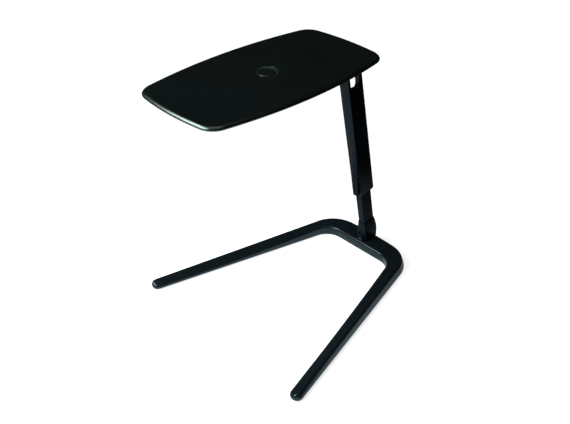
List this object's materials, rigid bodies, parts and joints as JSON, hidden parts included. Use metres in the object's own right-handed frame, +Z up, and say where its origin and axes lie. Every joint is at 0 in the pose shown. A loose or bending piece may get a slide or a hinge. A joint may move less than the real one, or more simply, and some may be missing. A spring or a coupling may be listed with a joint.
{
  "type": "pull-up table",
  "caption": "Pull-up side table: bowed worktop cantilevered from a leaning telescopic column on a V-shaped base, with a centre push button and folding hinges.",
  "frame": {"origin": "centre of the footprint on the floor: the bottom centre of the overall box", "axes": "+Z up, +X along the crossbar, -Y towards the user's side where the worktop and the legs reach out"},
  "size_m": [0.616, 0.7287, 0.72],
  "materials": {
    "worktop": "satin black",
    "button_ring": "satin black",
    "button": "satin black",
    "column_paint": "satin black paint",
    "base_paint": "satin black paint",
    "bracket": "matt black paint",
    "nylon": "matt",
    "steel": "zinc plated",
    "glide": "matt"
  },
  "bodies": {
    "base": {"base_frame": "base_paint", "glide_front_right": "glide", "glide_front_left": "glide", "glide_rear_right": "glide", "glide_rear_left": "glide", "hinge_plate": "bracket", "hinge_plate_screw_1": "steel", "hinge_plate_screw_2": "steel", "base_pin": "steel", "base_washer_right": "nylon", "base_washer_left": "nylon"},
    "column": {"foot": "column_paint", "foot_set_screw": "steel", "post": "column_paint", "post_slider": "nylon"},
    "carriage": {"sleeve": "column_paint", "sleeve_liner": "nylon", "front_cover": "column_paint", "head_pin": "steel", "head_washer_right": "nylon", "head_washer_left": "nylon"},
    "top": {"worktop": "worktop", "top_bracket": "bracket", "bracket_screw_1": "steel", "bracket_screw_2": "steel", "bracket_screw_3": "steel", "bracket_screw_4": "steel", "button_ring": "button_ring", "button_spring": "steel", "release_spring": "steel"},
    "push": {"button": "button"},
    "release": {"release_bar": "steel"}
  },
  "joints": [
    {"name": "column_fold", "type": "hinge", "parent": "base", "child": "column", "pos_m": [0, 0.3025, 0.043], "axis": [1, 0, 0], "range_deg": [0, 77.9]},
    {"name": "height_slide", "type": "slide", "parent": "column", "child": "carriage", "axis": [0, -0.2096, 0.9778], "range_m": [-0.09, 0]},
    {"name": "top_fold", "type": "hinge", "parent": "carriage", "child": "top", "pos_m": [0, 0.16686, 0.69], "axis": [1, 0, 0], "range_deg": [0, 102.1]},
    {"name": "button_press", "type": "slide", "parent": "top", "child": "push", "axis": [0, 0, -1], "range_m": [0, 0.003], "stiffness_N_per_m": 1500, "springref_m": -0.002, "deforming": ["button_spring", "release_spring"]},
    {"name": "bar_release", "type": "slide", "parent": "top", "child": "release", "axis": [0, -1, 0], "range_m": [0, 0.0045]}
  ],
  "couplings": [
    {"joint": "bar_release", "follows": "button_press", "ratio": 1.5}
  ]
}
